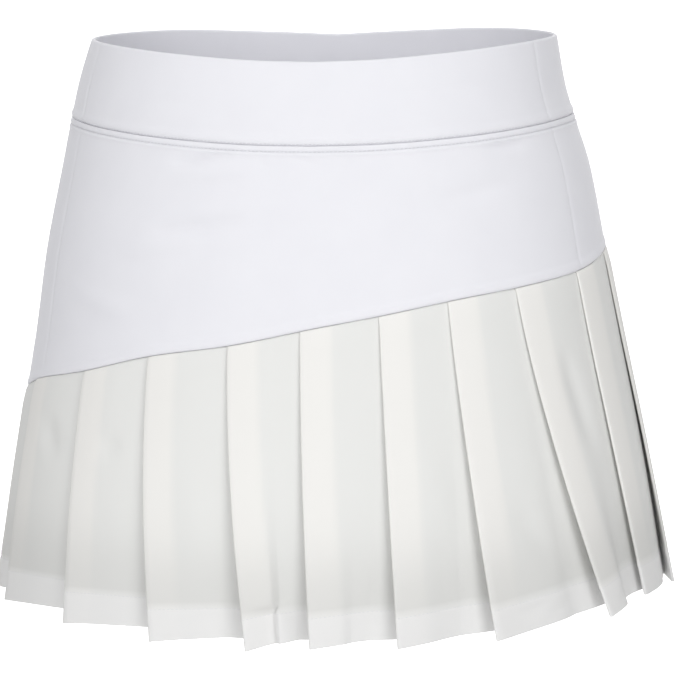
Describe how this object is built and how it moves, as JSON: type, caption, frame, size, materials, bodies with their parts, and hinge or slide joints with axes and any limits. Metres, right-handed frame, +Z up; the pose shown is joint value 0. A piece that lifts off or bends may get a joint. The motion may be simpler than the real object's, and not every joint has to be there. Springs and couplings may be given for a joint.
{
  "type": "pleated skort",
  "caption": "White pleated sports skort in worn form: wide knit waistband, diagonal smooth yoke, knife-pleated skirt and inner shorts.",
  "frame": {"origin": "centre of the waist opening, halfway up the waistband at the side seams", "axes": "+Z up through the waist opening, -Y to the garment's front, +X to the wearer's left"},
  "size_m": [0.4207, 0.3194, 0.3471],
  "materials": {
    "knit": "smooth bluish-white knit with a slight sheen",
    "pleat_cloth": "matte warm-white fine plain weave"
  },
  "bodies": {
    "root": {"waistband_front": "knit", "waistband_back": "knit", "yoke_front": "knit", "yoke_back": "knit", "skirt_front": "pleat_cloth", "skirt_back": "pleat_cloth", "shorts_left": "knit", "shorts_right": "knit"}
  },
  "joints": []
}
